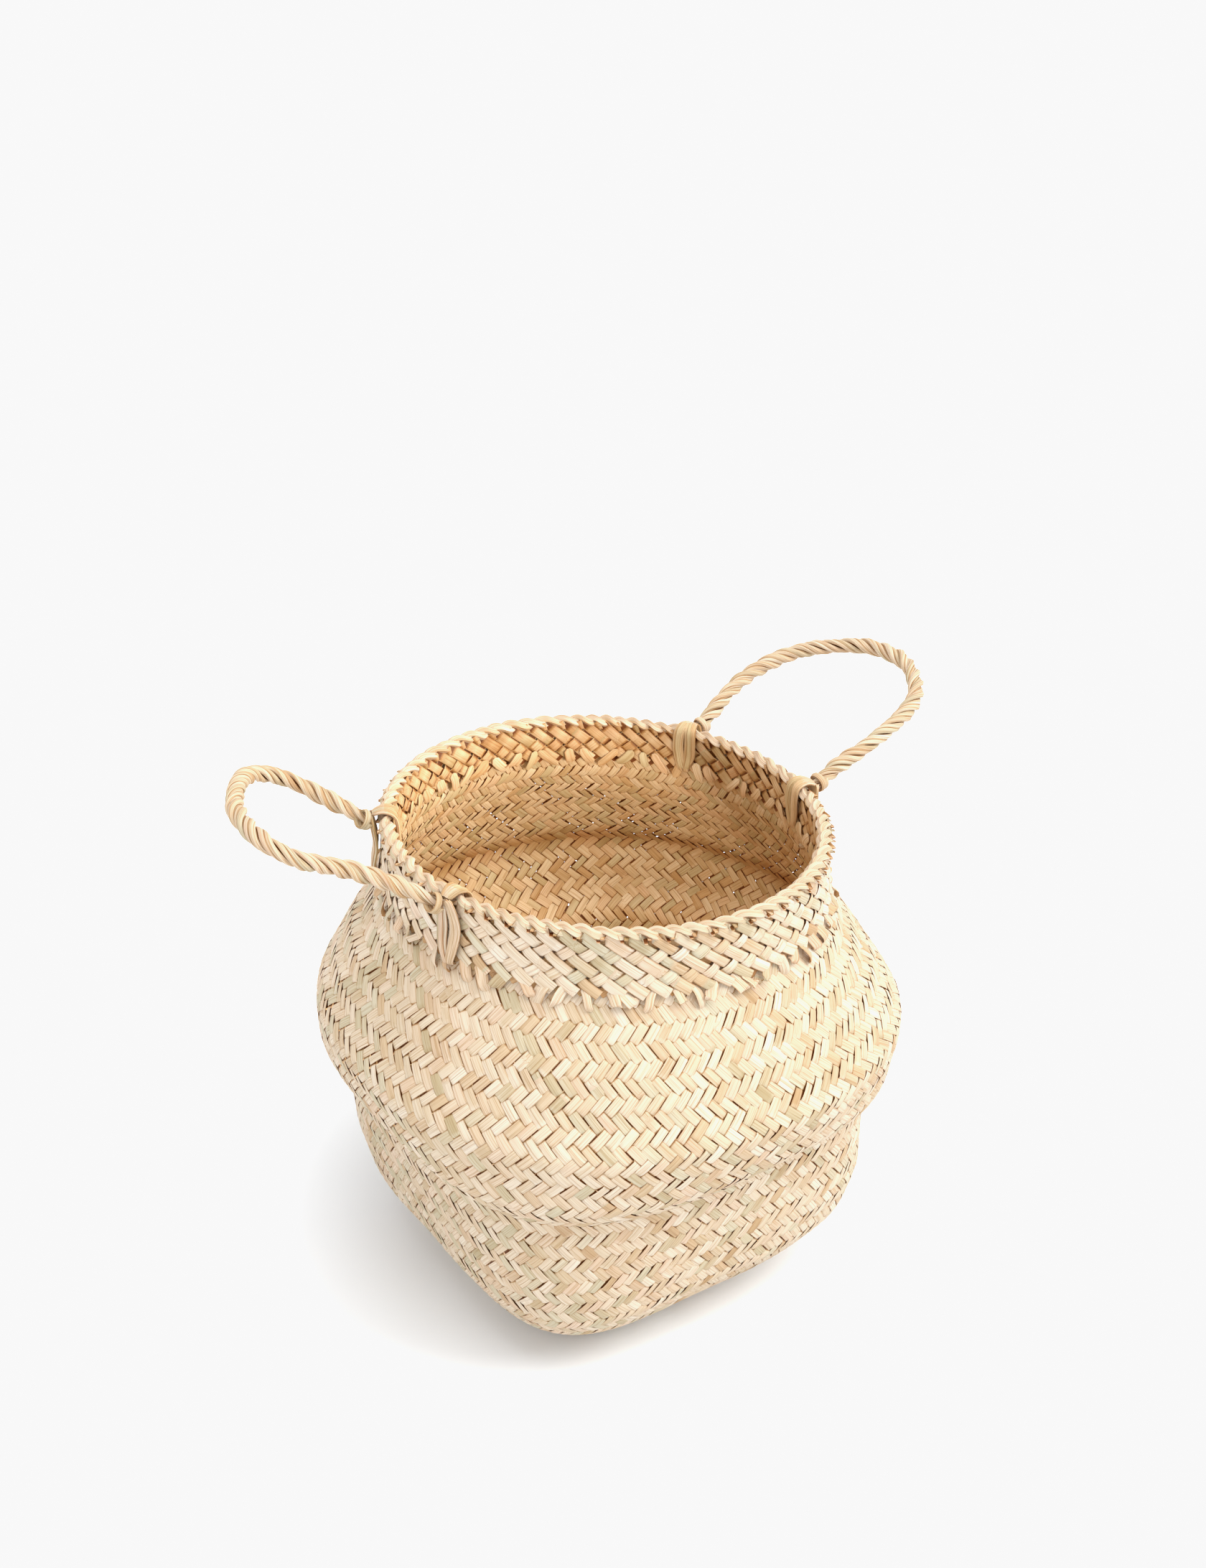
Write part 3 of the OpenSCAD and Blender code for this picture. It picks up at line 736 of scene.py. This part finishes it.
# A small lamp in the mouth, as the thin leaf walls glow in daylight: place, aim, power, size, colour
GLOW = ((0.056, -0.038, 0.246), (-0.095, 0.045, 0.150), 0.40, 0.07, (1.0, 0.95, 0.86))


def lamp_object(name, data, place, toward):
    """A lamp at place, shining the opposite way to toward."""
    z = unit(np.array(toward))
    x = unit(np.cross([0, 0, 1.0], z))
    lamp = bpy.data.objects.new(name, data)
    lamp.matrix_world = Matrix(
        np.vstack([np.column_stack([x, np.cross(z, x), z, place]), [0, 0, 0, 1]]).tolist())
    bpy.context.scene.collection.objects.link(lamp)
    return lamp


def stage():
    mesh = bpy.data.meshes.new("floor")
    half = 40
    corners = [(-half, -half, 0), (half, -half, 0), (half, half, 0), (-half, half, 0)]
    mesh.from_pydata(corners, [], [(0, 1, 2, 3)])
    mat = bpy.data.materials.new("pale_floor")
    mat.use_nodes = True
    shader = mat.node_tree.nodes["Principled BSDF"]
    shader.inputs["Base Color"].default_value = (0.81, 0.835, 0.865, 1)
    shader.inputs["Roughness"].default_value = 0.9
    shader.inputs["Specular IOR Level"].default_value = 0.1
    mesh.materials.append(mat)
    floor = bpy.data.objects.new("floor", mesh)
    bpy.context.scene.collection.objects.link(floor)
    for name, toward, energy, softness, colour in SOFTBOXES:
        lamp_data = bpy.data.lights.new(name, "SUN")
        lamp_data.energy, lamp_data.angle, lamp_data.color = energy, math.radians(softness), colour
        lamp_object(name, lamp_data, [0, 0, 1.5], toward)
    place, aim, power, size, colour = GLOW
    lamp_data = bpy.data.lights.new("mouth_lamp", "AREA")
    lamp_data.shape, lamp_data.size, lamp_data.energy, lamp_data.color = "DISK", size, power, colour
    lamp = lamp_object("mouth_lamp", lamp_data, place, np.array(place) - np.array(aim))
    lamp.visible_camera = False
    world = bpy.data.worlds.new("studio")
    bpy.context.scene.world = world
    world.use_nodes = True
    nodes, links = world.node_tree.nodes, world.node_tree.links
    nodes.clear()
    where = nodes.new("ShaderNodeTexCoord")
    split = nodes.new("ShaderNodeSeparateXYZ")
    ramp = nodes.new("ShaderNodeValToRGB")
    ramp.color_ramp.elements[0].position, ramp.color_ramp.elements[0].color = 0.15, (1.0, 1.0, 1.0, 1)
    ramp.color_ramp.elements[1].position, ramp.color_ramp.elements[1].color = 0.70, (0.85, 0.85, 0.85, 1)
    sky = nodes.new("ShaderNodeBackground")
    sky.inputs["Strength"].default_value = 1.22
    out = nodes.new("ShaderNodeOutputWorld")
    links.new(where.outputs["Generated"], split.inputs[0])
    links.new(split.outputs["Z"], ramp.inputs[0])
    links.new(ramp.outputs[0], sky.inputs["Color"])
    links.new(sky.outputs[0], out.inputs[0])


stage()

CAMERA_AT = np.array([-0.5407, -0.7897, 0.8439])
HEADING, PITCH, ROLL = (math.radians(v) for v in (-34.286, 29.897, 0.551))
level = np.array([-math.sin(HEADING), math.cos(HEADING), 0])
forward = level * math.cos(PITCH) - np.array([0, 0, math.sin(PITCH)])
right = np.array([math.cos(HEADING), math.sin(HEADING), 0])
above = np.cross(right, forward)
cam_x = right * math.cos(ROLL) + above * math.sin(ROLL)
cam_y = above * math.cos(ROLL) - right * math.sin(ROLL)
camera = bpy.data.cameras.new("photo_view")
camera.lens = 49.1
camera.sensor_width = 36
camera.sensor_fit = "AUTO"
camera.clip_start = 0.05
camera_obj = bpy.data.objects.new("photo_view", camera)
camera_obj.matrix_world = Matrix(
    np.vstack([np.column_stack([cam_x, cam_y, -forward, CAMERA_AT]), [0, 0, 0, 1]]).tolist())
bpy.context.scene.collection.objects.link(camera_obj)
bpy.context.scene.camera = camera_obj

# A plain print look: anything lighter than the backdrop's tone stays at that tone
look = bpy.context.scene.view_settings
look.view_transform = "Standard"
look.use_curve_mapping = True
tones = look.curve_mapping.curves[3]
tones.points[-1].location = (1.0, PAPER)
tones.points.new(PAPER, PAPER)
for point in tones.points:
    point.handle_type = "VECTOR"
look.curve_mapping.extend = "HORIZONTAL"
look.curve_mapping.update()
